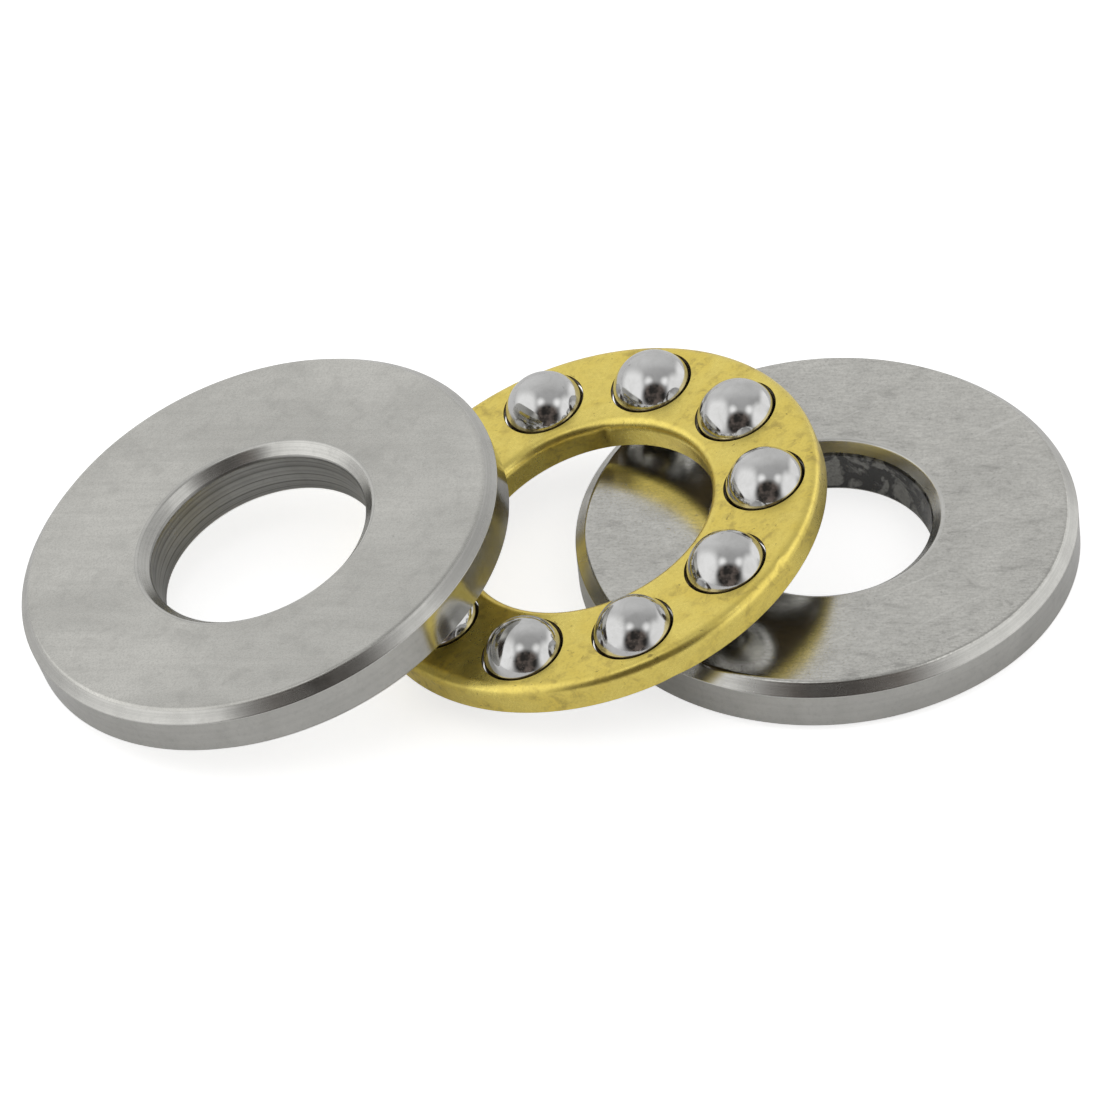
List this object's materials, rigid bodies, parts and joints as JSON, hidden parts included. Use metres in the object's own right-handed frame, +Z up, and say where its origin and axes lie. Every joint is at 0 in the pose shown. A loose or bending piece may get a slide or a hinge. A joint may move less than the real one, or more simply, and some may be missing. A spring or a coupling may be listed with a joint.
{
  "type": "thrust ball bearing",
  "caption": "Single-direction thrust ball bearing taken apart: flat shaft washer, brass cage with steel balls leaning on it, and housing washer leaning on the cage.",
  "frame": {"origin": "on the shaft washer's bore axis, at its lower face, which lies on the surface", "axes": "+Z up along the shaft washer's axis, -X towards the cage and the housing washer that lean on each other in a row, +Y to the back"},
  "size_m": [0.0506, 0.0243, 0.0083],
  "materials": {
    "washer_steel": "satin ground bearing steel",
    "cage_brass": "pressed brass, lightly tarnished",
    "ball_steel": "mirror-polished chrome steel"
  },
  "bodies": {
    "shaft_washer": {"shaft_washer": "washer_steel"},
    "housing_washer": {"housing_washer": "washer_steel"},
    "cage": {"cage": "cage_brass"},
    "ball_1": {"ball_1": "ball_steel"},
    "ball_2": {"ball_2": "ball_steel"},
    "ball_3": {"ball_3": "ball_steel"},
    "ball_4": {"ball_4": "ball_steel"},
    "ball_5": {"ball_5": "ball_steel"},
    "ball_6": {"ball_6": "ball_steel"},
    "ball_7": {"ball_7": "ball_steel"},
    "ball_8": {"ball_8": "ball_steel"},
    "ball_9": {"ball_9": "ball_steel"},
    "ball_10": {"ball_10": "ball_steel"}
  },
  "joints": [
    {"name": "housing_washer_spin", "type": "hinge", "parent": "shaft_washer", "child": "housing_washer", "pos_m": [-0.0264, 0.00035, 0.00287], "axis": [-0.2453, 0, 0.9694], "continuous": true},
    {"name": "cage_spin", "type": "hinge", "parent": "shaft_washer", "child": "cage", "pos_m": [-0.01115, -0.0001, 0.00407], "axis": [-0.2351, 0, 0.972], "continuous": true},
    {"name": "ball_1_roll", "type": "hinge", "parent": "cage", "child": "ball_1", "pos_m": [-0.01264, 0.00857, 0.00371], "axis": [-0.1688, 0.9848, -0.0408], "continuous": true},
    {"name": "ball_2_roll", "type": "hinge", "parent": "cage", "child": "ball_2", "pos_m": [-0.0173, 0.00601, 0.00259], "axis": [-0.6992, 0.6947, -0.1691], "continuous": true},
    {"name": "ball_3_roll", "type": "hinge", "parent": "cage", "child": "ball_3", "pos_m": [-0.01962, 0.00112, 0.00202], "axis": [-0.9625, 0.1392, -0.2329], "continuous": true},
    {"name": "ball_4_roll", "type": "hinge", "parent": "cage", "child": "ball_4", "pos_m": [-0.0187, -0.00423, 0.00225], "axis": [-0.8582, -0.4695, -0.2076], "continuous": true},
    {"name": "ball_5_roll", "type": "hinge", "parent": "cage", "child": "ball_5", "pos_m": [-0.0149, -0.00801, 0.00317], "axis": [-0.4261, -0.8988, -0.1031], "continuous": true},
    {"name": "ball_6_roll", "type": "hinge", "parent": "cage", "child": "ball_6", "pos_m": [-0.00966, -0.00877, 0.00443], "axis": [0.1688, -0.9848, 0.0408], "continuous": true},
    {"name": "ball_7_roll", "type": "hinge", "parent": "cage", "child": "ball_7", "pos_m": [-0.005, -0.00621, 0.00556], "axis": [0.6992, -0.6947, 0.1691], "continuous": true},
    {"name": "ball_8_roll", "type": "hinge", "parent": "cage", "child": "ball_8", "pos_m": [-0.00268, -0.00132, 0.00612], "axis": [0.9625, -0.1392, 0.2329], "continuous": true},
    {"name": "ball_9_roll", "type": "hinge", "parent": "cage", "child": "ball_9", "pos_m": [-0.0036, 0.00403, 0.0059], "axis": [0.8582, 0.4695, 0.2076], "continuous": true},
    {"name": "ball_10_roll", "type": "hinge", "parent": "cage", "child": "ball_10", "pos_m": [-0.0074, 0.00781, 0.00498], "axis": [0.4261, 0.8988, 0.1031], "continuous": true}
  ],
  "couplings": [
    {"joint": "cage_spin", "follows": "housing_washer_spin", "ratio": 0.5},
    {"joint": "ball_1_roll", "follows": "housing_washer_spin", "ratio": -2.2172},
    {"joint": "ball_2_roll", "follows": "housing_washer_spin", "ratio": -2.2172},
    {"joint": "ball_3_roll", "follows": "housing_washer_spin", "ratio": -2.2172},
    {"joint": "ball_4_roll", "follows": "housing_washer_spin", "ratio": -2.2172},
    {"joint": "ball_5_roll", "follows": "housing_washer_spin", "ratio": -2.2172},
    {"joint": "ball_6_roll", "follows": "housing_washer_spin", "ratio": -2.2172},
    {"joint": "ball_7_roll", "follows": "housing_washer_spin", "ratio": -2.2172},
    {"joint": "ball_8_roll", "follows": "housing_washer_spin", "ratio": -2.2172},
    {"joint": "ball_9_roll", "follows": "housing_washer_spin", "ratio": -2.2172},
    {"joint": "ball_10_roll", "follows": "housing_washer_spin", "ratio": -2.2172}
  ]
}
